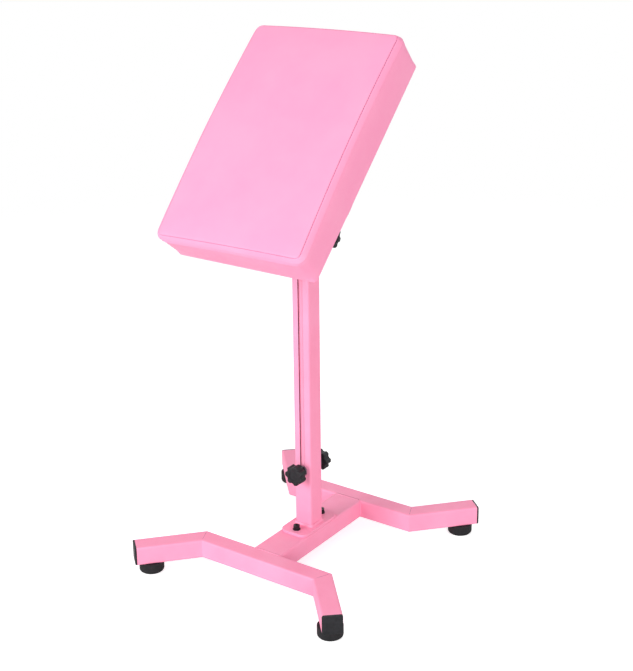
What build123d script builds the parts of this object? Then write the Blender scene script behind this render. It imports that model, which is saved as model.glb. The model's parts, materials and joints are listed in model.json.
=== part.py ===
from build123d import *
import os
from math import asin, cos, degrees, radians, sin

os.makedirs("parts", exist_ok=True)

# Armrest stand: an H base of mitred square tubes, a slotted column with a sliding post,
# and a crowned cushion on a tilting bracket. The origin is on the floor under the column.
# +X runs along the crossbars to the right, +Y to the rear, +Z up.

# Square tube of the base and the column
tube_width = 30.0
tube_wall = 1.5
tube_corner = 3.0
tube_bore = tube_width - 2 * tube_wall
bore_corner = tube_corner - tube_wall

# Base
crossbar_half_length = 110.0
crossbar_spacing = 244.0
arm_length = 109.0
splay_angle = 48.0
beam_width = 50.0

# Rubber feet and their self-tapping screws
foot_radius = 19.0
foot_height = 17.0
foot_edge = 4.0
foot_inset = 26.0
foot_recess_radius = 7.5
foot_recess_depth = 8.0
foot_hole_clearance = 0.3
foot_screw_radius = 2.5
foot_screw_head_radius = 5.0
foot_screw_head_height = 3.2
foot_screw_overreach = 6.0
tapped_clearance = 0.03

# Plastic end caps
cap_thickness = 3.0
cap_edge = 1.0
cap_plug_depth = 14.0
cap_plug_wall = 2.0
cap_plug_clearance = 0.1

# Column foot
flange_length = 92.0
flange_width = 48.0
flange_thickness = 4.0
flange_corner = 12.0
flange_edge = 1.0
flange_bolt_offset = 33.0
weld_leg = 3.0
weld_taper = 35.0

# M6 fasteners
m6_radius = 3.0
m6_hole_clearance = 0.3
m6_thread_clearance = 0.05
m6_head_radius = 5.0
m6_head_height = 6.0
m6_socket_width = 5.0
m6_socket_depth = 3.0
m6_washer_radius = 6.0
m6_washer_thickness = 1.2
m6_nut_width = 10.0
m6_nut_height = 5.0
m6_overreach = 3.0

# M8 fasteners
m8_radius = 4.0
m8_hole_clearance = 0.3
m8_thread_clearance = 0.05
m8_running_clearance = 0.06
m8_washer_radius = 9.0
m8_washer_thickness = 1.6
m8_nut_width = 13.0
m8_nut_height = 6.5
m8_lock_nut_height = 8.0
m8_head_height = 5.3
m8_point = 1.0
m8_overreach = 2.0
m8_button_radius = 9.0
m8_button_height = 4.4

# Column, its clamp slots and the guide bush in its mouth
clamp_height = 143.4
height_travel = 310.0
slot_end_clearance = 0.3
slot_to_bush = 7.0
bush_rim = 3.0
bush_depth = 30.0
bush_edge = 1.0
bush_clearance = 0.1

# Sliding post
post_width = 25.0
post_wall = 1.5
post_corner = 2.5
post_tail = 43.4
post_overreach = 8.5
post_slide_clearance = 0.1
guide_rim = 8.0
guide_plug_depth = 12.0
guide_plug_clearance = 0.1
post_cap_thickness = 2.0
post_cap_plug_depth = 4.0
post_cap_edge = 0.6

# Star knobs
knob_radius = 16.0
knob_valley_radius = 4.2
knob_valley_circle = 17.4
knob_lobe_count = 7
knob_lobe_edge = 2.2
knob_thickness = 13.0
knob_face_edge = 2.0
knob_back_edge = 1.0
knob_boss_radius = 8.0
knob_boss_height = 10.0
knob_boss_taper = 4.0
knob_bore_depth = 15.0
knob_dish_radius = 8.0
knob_dish_depth = 0.8
knob_mould_clearance = 0.02
stud_gap = 3.0
face_play = 0.1

# Tilt bracket
tilt_angle = 45.0
tilt_lowest = 0.0
tilt_highest = 90.0
straight_down = 270.0
bush_to_cheek = 6.7
pivot_drop = 20.5
lock_drop = 92.0
bracket_inner_width = 50.0
cheek_thickness = 3.0
cheek_rim = 9.0
cheek_rear_reach = 20.0
cheek_corner = 8.0
lock_slot_end_margin = 3.2
spacer_radius = 8.0
plate_width = 90.0
plate_length = 230.0
plate_thickness = 3.0
plate_corner = 12.0
screw_pattern_width = 76.0
screw_pattern_length = 124.0

# T-nuts in the backing board
t_nut_flange_radius = 9.0
t_nut_flange_thickness = 1.5
t_nut_barrel_radius = 3.9
t_nut_barrel_length = 8.0
t_nut_fit = 0.05

# Cushion, heights measured from the underside of the pad
dust_cover_thickness = 0.6
dust_cover_inset = 10.0
dust_cover_corner = 8.0
leather_thickness = 1.2
leather_turn_in = 30.0
leather_turn_in_corner = 12.0
board_thickness = 12.0
board_fit = 0.1
pad_bottom_width = 234.0
pad_bottom_length = 350.4
pad_belly_height = 58.0
belly_swell = 6.0
seam_swell = 4.5
pad_seam_corner = 15.0
pad_foot_corner = 5.0
crown_height = 77.0
crown_drop_along = 6.4
crown_drop_across = 3.0
crown_roll = 5.0

# The side of the cushion between its lower edge and its belly: shares of the height and of the swell
pad_side_shares = ((0.0, 0.0), (0.35, 0.42), (0.7, 0.8), (1.0, 1.0))

# Staples that hold the leather and the dust cover to the board
staple_width = 10.0
staple_wire = 1.2
staple_thickness = 0.6
staple_leg = 8.0
staple_inset = 5.0
staples_along = 7
staples_across = 5
staple_clearance = 0.05

# How far a cutting shape runs past what it cuts
overrun = 5.0

# Places that follow from the sizes above
leg_bottom = foot_height
leg_top = leg_bottom + tube_width
leg_middle = leg_bottom + tube_width / 2
flange_top = leg_top + flange_thickness
slot_radius = m8_radius + m8_hole_clearance
slot_top = clamp_height + height_travel + slot_end_clearance + slot_radius
column_top = slot_top + slot_to_bush + bush_depth
cheek_radius = lock_drop + slot_radius + cheek_rim
pivot_height = column_top + bush_rim + bush_to_cheek + cheek_radius
lock_height = pivot_height - lock_drop
post_bore = post_width - 2 * post_wall
post_bottom = clamp_height - post_tail
post_top = pivot_height + post_overreach
washer_bore = m8_radius + m8_hole_clearance / 2
cheek_inner = bracket_inner_width / 2
cheek_outer = cheek_inner + cheek_thickness
tilt = radians(tilt_angle)
splay = radians(splay_angle)
ends = (("front", -1), ("rear", 1))
sides = (("left", -1), ("right", 1))


def write_piece(piece, name):
    """Labels a finished piece and writes it under the same name."""
    piece.part.label = name
    export_step(piece.part, f"parts/{name}.step")


def tube_section(width, height, wall, corner):
    """Draws a hollow section with rounded corners in the current sketch."""
    RectangleRounded(width, height, corner)
    RectangleRounded(width - 2 * wall, height - 2 * wall, corner - wall, mode=Mode.SUBTRACT)


def bend_point(side_sign, end_sign):
    """Where the middle lines of a crossbar and its arm meet."""
    return Vector(side_sign * crossbar_half_length, end_sign * crossbar_spacing / 2, leg_middle)


def arm_direction(side_sign, end_sign):
    """Unit vector outwards along an arm."""
    return Vector(side_sign * cos(splay), end_sign * sin(splay), 0)


def mitre_plane(side_sign, end_sign):
    """Plane of the welded mitre, facing out along the arm."""
    outward = Vector(side_sign * cos(splay / 2), end_sign * sin(splay / 2), 0)
    return Plane(origin=bend_point(side_sign, end_sign), x_dir=(0, 0, 1), z_dir=outward)


def foot_point(side_sign, end_sign):
    """Middle of a foot on the floor."""
    point = bend_point(side_sign, end_sign)
    point += arm_direction(side_sign, end_sign) * (arm_length - foot_inset)
    return Vector(point.X, point.Y, 0)


# Crossbars, cut to the mitre at both ends
for end_name, end_sign in ends:
    with BuildPart() as crossbar:
        crossbar_middle = (0, end_sign * crossbar_spacing / 2, leg_middle)
        with BuildSketch(Plane(origin=crossbar_middle, x_dir=(0, 1, 0), z_dir=(1, 0, 0))):
            tube_section(tube_width, tube_width, tube_wall, tube_corner)
        extrude(amount=crossbar_half_length + tube_width, both=True)
        for side_name, side_sign in sides:
            split(bisect_by=mitre_plane(side_sign, end_sign), keep=Keep.BOTTOM)
    write_piece(crossbar, f"{end_name}_crossbar")

# Arms, end caps and feet, one of each at every corner
foot_points = []
for end_name, end_sign in ends:
    for side_name, side_sign in sides:
        direction = arm_direction(side_sign, end_sign)
        bend = bend_point(side_sign, end_sign)
        foot = foot_point(side_sign, end_sign)
        foot_points.append(foot)
        section_plane = Plane(origin=bend, x_dir=(0, 0, 1), z_dir=direction)
        arm_end_plane = section_plane.offset(arm_length - cap_thickness)

        with BuildPart() as arm:
            with BuildSketch(section_plane.offset(-tube_width)):
                tube_section(tube_width, tube_width, tube_wall, tube_corner)
            extrude(amount=tube_width + arm_length - cap_thickness)
            split(bisect_by=mitre_plane(side_sign, end_sign), keep=Keep.TOP)
            with BuildSketch(Plane.XY.offset(leg_bottom - tube_wall)):
                with Locations((foot.X, foot.Y)):
                    Circle(foot_screw_radius + tapped_clearance)
            extrude(amount=3 * tube_wall, mode=Mode.SUBTRACT)
        write_piece(arm, f"{end_name}_{side_name}_arm")

        plug_width = tube_bore - 2 * cap_plug_clearance
        with BuildPart() as end_cap:
            with BuildSketch(arm_end_plane):
                RectangleRounded(tube_width, tube_width, tube_corner)
            extrude(amount=cap_thickness)
            outer_face = end_cap.faces().sort_by(Axis(bend, direction))[-1]
            fillet(outer_face.edges(), cap_edge)
            with BuildSketch(arm_end_plane.offset(-cap_plug_depth)):
                tube_section(plug_width, plug_width, cap_plug_wall, cap_plug_wall + cap_plug_clearance)
            extrude(amount=cap_plug_depth)
        write_piece(end_cap, f"{end_name}_{side_name}_end_cap")

        with BuildPart() as rubber_foot:
            with BuildSketch(Plane.XY):
                with Locations((foot.X, foot.Y)):
                    Circle(foot_radius)
            extrude(amount=foot_height)
            fillet(rubber_foot.edges().group_by(Axis.Z)[0], foot_edge)
            with BuildSketch(Plane.XY):
                with Locations((foot.X, foot.Y)):
                    Circle(foot_recess_radius)
            extrude(amount=foot_recess_depth, mode=Mode.SUBTRACT)
            with BuildSketch(Plane.XY):
                with Locations((foot.X, foot.Y)):
                    Circle(foot_screw_radius + foot_hole_clearance)
            extrude(amount=foot_height, mode=Mode.SUBTRACT)
        write_piece(rubber_foot, f"{end_name}_{side_name}_foot")

# Screws that hold the feet, driven up from inside each recess
screw_head_bottom = foot_recess_depth - foot_screw_head_height
with BuildPart() as foot_screws:
    with BuildSketch(Plane.XY.offset(screw_head_bottom)):
        with Locations(*[(foot.X, foot.Y) for foot in foot_points]):
            Circle(foot_screw_head_radius)
    extrude(amount=foot_screw_head_height)
    with BuildSketch(Plane.XY.offset(foot_recess_depth)):
        with Locations(*[(foot.X, foot.Y) for foot in foot_points]):
            Circle(foot_screw_radius)
    extrude(amount=foot_height - foot_recess_depth + tube_wall + foot_screw_overreach)
write_piece(foot_screws, "foot_screws")

# Centre beam between the crossbars, with two bolt holes in its top wall
beam_length = crossbar_spacing - tube_width
with BuildPart() as centre_beam:
    with BuildSketch(Plane(origin=(0, -beam_length / 2, leg_middle), x_dir=(1, 0, 0), z_dir=(0, 1, 0))):
        tube_section(beam_width, tube_width, tube_wall, tube_corner)
    extrude(amount=beam_length)
    with BuildSketch(Plane.XY.offset(leg_middle)):
        with GridLocations(0, 2 * flange_bolt_offset, 1, 2):
            Circle(m6_radius + m6_hole_clearance)
    extrude(amount=tube_width, mode=Mode.SUBTRACT)
write_piece(centre_beam, "centre_beam")

# Flange plate under the column
with BuildPart() as flange_plate:
    with BuildSketch(Plane.XY.offset(leg_top)):
        RectangleRounded(flange_width, flange_length, flange_corner)
    extrude(amount=flange_thickness)
    fillet(flange_plate.faces().sort_by(Axis.Z)[-1].edges(), flange_edge)
    with BuildSketch(Plane.XY.offset(leg_top)):
        with GridLocations(0, 2 * flange_bolt_offset, 1, 2):
            Circle(m6_radius + m6_hole_clearance)
    extrude(amount=flange_thickness, mode=Mode.SUBTRACT)
write_piece(flange_plate, "flange_plate")

# Weld fillet round the foot of the column
with BuildPart() as column_weld:
    weld_width = tube_width + 2 * weld_leg
    with BuildSketch(Plane.XY.offset(flange_top)):
        RectangleRounded(weld_width, weld_width, tube_corner + weld_leg)
    extrude(amount=weld_leg, taper=weld_taper)
    with BuildSketch(Plane.XY.offset(flange_top)):
        RectangleRounded(tube_width, tube_width, tube_corner)
    extrude(amount=weld_leg, mode=Mode.SUBTRACT)
write_piece(column_weld, "column_weld")

# Cap screws, washers and weld nuts that hold the flange to the beam
screw_seat = flange_top + m6_washer_thickness
nut_bottom = leg_top - tube_wall - m6_nut_height
with BuildPart() as column_screws:
    with BuildSketch(Plane.XY.offset(screw_seat)):
        with GridLocations(0, 2 * flange_bolt_offset, 1, 2):
            Circle(m6_head_radius)
    extrude(amount=m6_head_height)
    with BuildSketch(Plane.XY.offset(screw_seat + m6_head_height - m6_socket_depth)):
        with GridLocations(0, 2 * flange_bolt_offset, 1, 2):
            RegularPolygon(m6_socket_width / 2, 6, major_radius=False)
    extrude(amount=m6_socket_depth, mode=Mode.SUBTRACT)
    with BuildSketch(Plane.XY.offset(nut_bottom - m6_overreach)):
        with GridLocations(0, 2 * flange_bolt_offset, 1, 2):
            Circle(m6_radius)
    extrude(amount=screw_seat - nut_bottom + m6_overreach)
write_piece(column_screws, "column_screws")

with BuildPart() as column_washers:
    with BuildSketch(Plane.XY.offset(flange_top)):
        with GridLocations(0, 2 * flange_bolt_offset, 1, 2):
            Circle(m6_washer_radius)
            Circle(m6_radius + m6_hole_clearance, mode=Mode.SUBTRACT)
    extrude(amount=m6_washer_thickness)
write_piece(column_washers, "column_washers")

with BuildPart() as column_weld_nuts:
    with BuildSketch(Plane.XY.offset(nut_bottom)):
        with GridLocations(0, 2 * flange_bolt_offset, 1, 2):
            RegularPolygon(m6_nut_width / 2, 6, major_radius=False)
            Circle(m6_radius + m6_thread_clearance, mode=Mode.SUBTRACT)
    extrude(amount=m6_nut_height)
write_piece(column_weld_nuts, "column_weld_nuts")

# Column, with a clamp slot in its front and rear faces
slot_span = height_travel + 2 * slot_end_clearance
with BuildPart() as column:
    with BuildSketch(Plane.XY.offset(flange_top)):
        tube_section(tube_width, tube_width, tube_wall, tube_corner)
    extrude(amount=column_top - flange_top)
    with BuildSketch(Plane.XZ):
        with Locations((0, clamp_height + height_travel / 2)):
            SlotCenterToCenter(slot_span, 2 * slot_radius, rotation=90)
    extrude(amount=tube_width, both=True, mode=Mode.SUBTRACT)
write_piece(column, "column")

# Guide bush in the mouth of the column
bush_width = tube_bore - 2 * bush_clearance
bush_opening = post_width + 2 * post_slide_clearance
with BuildPart() as guide_bush:
    with BuildSketch(Plane.XY.offset(column_top)):
        RectangleRounded(tube_width, tube_width, tube_corner)
    extrude(amount=bush_rim)
    fillet(guide_bush.faces().sort_by(Axis.Z)[-1].edges(), bush_edge)
    with BuildSketch(Plane.XY.offset(column_top - bush_depth)):
        RectangleRounded(bush_width, bush_width, bore_corner)
    extrude(amount=bush_depth)
    with BuildSketch(Plane.XY.offset(column_top - bush_depth)):
        RectangleRounded(bush_opening, bush_opening, post_corner + post_slide_clearance)
    extrude(amount=bush_depth + bush_rim, mode=Mode.SUBTRACT)
write_piece(guide_bush, "guide_bush")

# Sliding post, drilled for the pivot bolt, the lock bolt and the two clamp studs
with BuildPart() as sliding_post:
    with BuildSketch(Plane.XY.offset(post_bottom)):
        tube_section(post_width, post_width, post_wall, post_corner)
    extrude(amount=post_top - post_bottom)
    with BuildSketch(Plane.YZ):
        with Locations((0, pivot_height), (0, lock_height)):
            Circle(m8_radius + m8_thread_clearance)
    extrude(amount=post_width, both=True, mode=Mode.SUBTRACT)
    with BuildSketch(Plane.XZ):
        with Locations((0, clamp_height)):
            Circle(m8_radius + m8_hole_clearance)
    extrude(amount=post_width, both=True, mode=Mode.SUBTRACT)
write_piece(sliding_post, "sliding_post")

# Plastic guide that fills the column bore at the lower end of the post
guide_width = tube_bore - 2 * post_slide_clearance
guide_plug_width = post_bore - 2 * guide_plug_clearance
with BuildPart() as post_guide:
    with BuildSketch(Plane.XY.offset(post_bottom - guide_rim)):
        RectangleRounded(guide_width, guide_width, bore_corner)
    extrude(amount=guide_rim)
    with BuildSketch(Plane.XY.offset(post_bottom)):
        RectangleRounded(guide_plug_width, guide_plug_width, post_corner - post_wall)
    extrude(amount=guide_plug_depth)
write_piece(post_guide, "post_guide")

# Plastic cap on the upper end of the post
with BuildPart() as post_cap:
    with BuildSketch(Plane.XY.offset(post_top)):
        RectangleRounded(post_width, post_width, post_corner)
    extrude(amount=post_cap_thickness)
    fillet(post_cap.faces().sort_by(Axis.Z)[-1].edges(), post_cap_edge)
    with BuildSketch(Plane.XY.offset(post_top - post_cap_plug_depth)):
        RectangleRounded(guide_plug_width, guide_plug_width, post_corner - post_wall)
    extrude(amount=post_cap_plug_depth)
write_piece(post_cap, "post_cap")

# Weld nuts inside the post that the clamp studs screw into
with BuildPart() as post_weld_nuts:
    for side_sign in (-1, 1):
        nut_seat = (0, side_sign * post_bore / 2, clamp_height)
        with BuildSketch(Plane(origin=nut_seat, x_dir=(1, 0, 0), z_dir=(0, -side_sign, 0))):
            RegularPolygon(m8_nut_width / 2, 6, major_radius=False)
            Circle(m8_radius + m8_thread_clearance, mode=Mode.SUBTRACT)
        extrude(amount=m8_nut_height)
write_piece(post_weld_nuts, "post_weld_nuts")


def star_knob(base_plane, bore_radius):
    """Seven-lobed knob on a tapered boss, its back on the plane and its bore blind."""
    with BuildPart() as knob:
        with BuildSketch(base_plane.offset(knob_boss_height)) as star:
            Circle(knob_radius)
            with PolarLocations(knob_valley_circle, knob_lobe_count):
                Circle(knob_valley_radius, mode=Mode.SUBTRACT)
            fillet(star.vertices(), knob_lobe_edge)
        extrude(amount=knob_thickness)
        knob_axis = Axis(base_plane.origin, base_plane.z_dir)
        flat_faces = knob.faces().filter_by(GeomType.PLANE).sort_by(knob_axis)
        fillet(flat_faces[-1].edges(), knob_face_edge)
        fillet(flat_faces[0].edges(), knob_back_edge)
        with BuildSketch(base_plane.offset(knob_boss_height)):
            Circle(knob_boss_radius)
        extrude(amount=-knob_boss_height, taper=knob_boss_taper)
        with BuildSketch(base_plane.offset(knob_boss_height + knob_thickness - knob_dish_depth)):
            Circle(knob_dish_radius)
        extrude(amount=knob_dish_depth, mode=Mode.SUBTRACT)
        with BuildSketch(base_plane):
            Circle(bore_radius)
        extrude(amount=knob_bore_depth, mode=Mode.SUBTRACT)
    return knob


def plain_washer(face_plane):
    """M8 washer that lies on the plane."""
    with BuildPart() as washer:
        with BuildSketch(face_plane):
            Circle(m8_washer_radius)
            Circle(washer_bore, mode=Mode.SUBTRACT)
        extrude(amount=m8_washer_thickness)
    return washer


# Height clamps: a star knob with its own stud on the front and on the rear of the column
stud_reach = tube_width / 2 + face_play + m8_washer_thickness - stud_gap
for end_name, end_sign in ends:
    column_face = (0, end_sign * (tube_width / 2 + face_play), clamp_height)
    face_plane = Plane(origin=column_face, x_dir=(-end_sign, 0, 0), z_dir=(0, end_sign, 0))
    knob_plane = face_plane.offset(m8_washer_thickness)
    write_piece(plain_washer(face_plane), f"{end_name}_washer")
    write_piece(star_knob(knob_plane, m8_radius + knob_mould_clearance), f"{end_name}_knob")
    with BuildPart() as stud:
        with BuildSketch(knob_plane.offset(-stud_reach)):
            Circle(m8_radius)
        extrude(amount=stud_reach + knob_bore_depth)
        chamfer(stud.faces().sort_by(Axis(column_face, (0, end_sign, 0)))[0].edges(), m8_point)
    write_piece(stud, f"{end_name}_stud")

# Tilt lock: a round-headed bolt through both cheek slots, a washer and a third star knob
lock_face = Plane(origin=(cheek_outer + face_play, 0, lock_height), x_dir=(0, 1, 0), z_dir=(1, 0, 0))
tilt_knob_plane = lock_face.offset(m8_washer_thickness)
write_piece(plain_washer(lock_face), "tilt_washer")
write_piece(star_knob(tilt_knob_plane, m8_radius + m8_thread_clearance), "tilt_knob")

neck_length = cheek_thickness + face_play
neck_width = 2 * m8_radius
arc_middle = radians(45)
bolt_tip = tilt_knob_plane.origin.X + knob_bore_depth - m8_overreach
head_plane = Plane(origin=(-cheek_outer - face_play, 0, lock_height), x_dir=(0, 1, 0), z_dir=(1, 0, 0))
with BuildPart() as lock_bolt:
    with BuildSketch(Plane(origin=head_plane.origin, x_dir=(-1, 0, 0), z_dir=(0, -1, 0))):
        with BuildLine():
            Line((0, 0), (m8_button_height, 0))
            ThreePointArc(
                (m8_button_height, 0),
                (m8_button_height * cos(arc_middle), m8_button_radius * sin(arc_middle)),
                (0, m8_button_radius),
            )
            Line((0, m8_button_radius), (0, 0))
        make_face()
    revolve(axis=Axis(head_plane.origin, (1, 0, 0)))
    with BuildSketch(head_plane):
        Rectangle(neck_width, neck_width)
    extrude(amount=neck_length)
    with BuildSketch(head_plane.offset(neck_length)):
        Circle(m8_radius)
    extrude(amount=bolt_tip - head_plane.origin.X - neck_length)
    chamfer(lock_bolt.faces().sort_by(Axis.X)[-1].edges(), m8_point)
write_piece(lock_bolt, "lock_bolt")

# Pivot bolt across the top of the post, and its lock nut
pivot_head = Plane(origin=(-cheek_outer - face_play, 0, pivot_height), x_dir=(0, 1, 0), z_dir=(1, 0, 0))
pivot_nut_seat = Plane(origin=(cheek_outer + face_play, 0, pivot_height), x_dir=(0, 1, 0), z_dir=(1, 0, 0))
pivot_grip = 2 * (cheek_outer + face_play)
with BuildPart() as pivot_bolt:
    with BuildSketch(pivot_head):
        RegularPolygon(m8_nut_width / 2, 6, major_radius=False)
    extrude(amount=-m8_head_height)
    with BuildSketch(pivot_head):
        Circle(m8_radius)
    extrude(amount=pivot_grip + m8_lock_nut_height + m8_overreach)
    chamfer(pivot_bolt.faces().sort_by(Axis.X)[-1].edges(), m8_point)
write_piece(pivot_bolt, "pivot_bolt")

with BuildPart() as pivot_nut:
    with BuildSketch(pivot_nut_seat):
        RegularPolygon(m8_nut_width / 2, 6, major_radius=False)
        Circle(m8_radius + m8_thread_clearance, mode=Mode.SUBTRACT)
    extrude(amount=m8_lock_nut_height)
write_piece(pivot_nut, "pivot_nut")

# Spacer bushes between the post and the cheeks, at the pivot and at the lock bolt
spacer_length = cheek_inner - face_play - post_width / 2
for spacer_name, spacer_height in (("pivot_spacers", pivot_height), ("lock_spacers", lock_height)):
    with BuildPart() as spacers:
        for side_sign in (-1, 1):
            spacer_seat = (side_sign * post_width / 2, 0, spacer_height)
            with BuildSketch(Plane(origin=spacer_seat, x_dir=(0, 1, 0), z_dir=(side_sign, 0, 0))):
                Circle(spacer_radius)
                Circle(washer_bore, mode=Mode.SUBTRACT)
            extrude(amount=spacer_length)
    write_piece(spacers, spacer_name)

# The pad's own plane: its underside, with local y up the slope and z out of the cushion
slope = Vector(0, cos(tilt), sin(tilt))
outward = Vector(0, -sin(tilt), cos(tilt))
pivot_point = Vector(0, 0, pivot_height)
pad_plane = Plane(origin=pivot_point + outward * pivot_drop, x_dir=(1, 0, 0), z_dir=outward)

# Cheeks of the tilt bracket: sectors round the pivot, each with an arc slot for the lock bolt
cheek_rise = pivot_drop - plate_thickness
cheek_depth = cheek_radius + cheek_rear_reach
cheek_height = cheek_radius + cheek_rise
slot_end_angle = degrees(lock_slot_end_margin / lock_drop)
slot_start = straight_down - tilt_highest - slot_end_angle
slot_sweep = tilt_highest - tilt_lowest + 2 * slot_end_angle
lock_slot_path = CenterArc((0, 0), lock_drop, slot_start, slot_sweep)
for side_name, cheek_place in (("left", -cheek_outer), ("right", cheek_inner)):
    cheek_plane = Plane(origin=(cheek_place, 0, pivot_height), x_dir=slope, z_dir=(1, 0, 0))
    with BuildPart() as cheek:
        with BuildSketch(cheek_plane) as outline:
            Circle(cheek_radius)
            with Locations(((cheek_rear_reach - cheek_radius) / 2, (cheek_rise - cheek_radius) / 2)):
                Rectangle(cheek_depth, cheek_height, mode=Mode.INTERSECT)
            fillet(outline.vertices().sort_by(Axis.Y)[0], cheek_corner)
            Circle(m8_radius + m8_running_clearance, mode=Mode.SUBTRACT)
            SlotArc(lock_slot_path, 2 * slot_radius, mode=Mode.SUBTRACT)
        extrude(amount=cheek_thickness)
    write_piece(cheek, f"{side_name}_cheek")

# Mounting plate of the tilt bracket
with BuildPart() as bracket_plate:
    with BuildSketch(pad_plane.offset(-plate_thickness)):
        RectangleRounded(plate_width, plate_length, plate_corner)
        with GridLocations(screw_pattern_width, screw_pattern_length, 2, 2):
            Circle(m6_radius + m6_hole_clearance, mode=Mode.SUBTRACT)
    extrude(amount=plate_thickness)
write_piece(bracket_plate, "bracket_plate")

# Backing board, recessed for the T-nuts
board_bottom = dust_cover_thickness + leather_thickness
board_top = board_bottom + board_thickness
board_width = pad_bottom_width - 2 * (leather_thickness + board_fit)
board_length = pad_bottom_length - 2 * (leather_thickness + board_fit)
board_corner = pad_foot_corner - leather_thickness - board_fit
staple_area_x = pad_bottom_width - 2 * (dust_cover_inset + staple_inset)
staple_area_y = pad_bottom_length - 2 * (dust_cover_inset + staple_inset)
staple_pitch_x = staple_area_x / staples_across
staple_pitch_y = staple_area_y / staples_along


def staple_marks(length, width):
    """Draws one rectangle for each staple, in two rows along each pair of edges."""
    with GridLocations(staple_area_x, staple_pitch_y, 2, staples_along):
        Rectangle(width, length)
    with GridLocations(staple_pitch_x, staple_area_y, staples_across, 2):
        Rectangle(length, width)


def staple_leg_marks(clearance):
    """Draws the two legs of every staple."""
    leg_offset = staple_width - staple_thickness
    leg_long = staple_wire + 2 * clearance
    leg_short = staple_thickness + 2 * clearance
    with GridLocations(staple_area_x, staple_pitch_y, 2, staples_along):
        with GridLocations(0, leg_offset, 1, 2):
            Rectangle(leg_long, leg_short)
    with GridLocations(staple_pitch_x, staple_area_y, staples_across, 2):
        with GridLocations(leg_offset, 0, 2, 1):
            Rectangle(leg_short, leg_long)


with BuildPart() as backing_board:
    with BuildSketch(pad_plane.offset(board_bottom)):
        RectangleRounded(board_width, board_length, board_corner)
    extrude(amount=board_thickness)
    with BuildSketch(pad_plane.offset(board_bottom)):
        with GridLocations(screw_pattern_width, screw_pattern_length, 2, 2):
            Circle(t_nut_barrel_radius + t_nut_fit)
    extrude(amount=board_thickness, mode=Mode.SUBTRACT)
    with BuildSketch(pad_plane.offset(board_top - t_nut_flange_thickness)):
        with GridLocations(screw_pattern_width, screw_pattern_length, 2, 2):
            Circle(t_nut_flange_radius + t_nut_fit)
    extrude(amount=t_nut_flange_thickness, mode=Mode.SUBTRACT)
    with BuildSketch(pad_plane):
        staple_leg_marks(staple_clearance)
    extrude(amount=staple_leg + staple_clearance, mode=Mode.SUBTRACT)
write_piece(backing_board, "backing_board")

with BuildPart() as t_nuts:
    with BuildSketch(pad_plane.offset(board_top - t_nut_flange_thickness)):
        with GridLocations(screw_pattern_width, screw_pattern_length, 2, 2):
            Circle(t_nut_flange_radius)
    extrude(amount=t_nut_flange_thickness)
    with BuildSketch(pad_plane.offset(board_top - t_nut_flange_thickness)):
        with GridLocations(screw_pattern_width, screw_pattern_length, 2, 2):
            Circle(t_nut_barrel_radius)
    extrude(amount=-t_nut_barrel_length)
    with BuildSketch(pad_plane):
        with GridLocations(screw_pattern_width, screw_pattern_length, 2, 2):
            Circle(m6_radius + m6_thread_clearance)
    extrude(amount=board_top, mode=Mode.SUBTRACT)
write_piece(t_nuts, "t_nuts")

# Hex screws that hold the bracket to the T-nuts
with BuildPart() as bracket_screws:
    with BuildSketch(pad_plane.offset(-plate_thickness)):
        with GridLocations(screw_pattern_width, screw_pattern_length, 2, 2):
            RegularPolygon(m6_nut_width / 2, 6, major_radius=False)
    extrude(amount=-m6_nut_height)
    with BuildSketch(pad_plane.offset(-plate_thickness)):
        with GridLocations(screw_pattern_width, screw_pattern_length, 2, 2):
            Circle(m6_radius)
    extrude(amount=plate_thickness + board_top - t_nut_flange_thickness)
write_piece(bracket_screws, "bracket_screws")

# Dust cover under the board
dust_cover_width = pad_bottom_width - 2 * dust_cover_inset
dust_cover_length = pad_bottom_length - 2 * dust_cover_inset
with BuildPart() as dust_cover:
    with BuildSketch(pad_plane):
        RectangleRounded(dust_cover_width, dust_cover_length, dust_cover_corner)
        with GridLocations(screw_pattern_width, screw_pattern_length, 2, 2):
            Circle(m6_radius + m6_hole_clearance, mode=Mode.SUBTRACT)
    extrude(amount=dust_cover_thickness)
    with BuildSketch(pad_plane):
        staple_leg_marks(staple_clearance)
    extrude(amount=dust_cover_thickness, mode=Mode.SUBTRACT)
write_piece(dust_cover, "dust_cover")

with BuildPart() as staples:
    with BuildSketch(pad_plane.offset(-staple_thickness)):
        staple_marks(staple_width, staple_wire)
    extrude(amount=staple_thickness)
    with BuildSketch(pad_plane.offset(-staple_thickness)):
        staple_leg_marks(0)
    extrude(amount=staple_thickness + staple_leg)
write_piece(staples, "staples")


def arc_radius(half_span, rise):
    """Radius of an arc that rises this much over this half span."""
    return (half_span ** 2 + rise ** 2) / (2 * rise)


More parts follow.
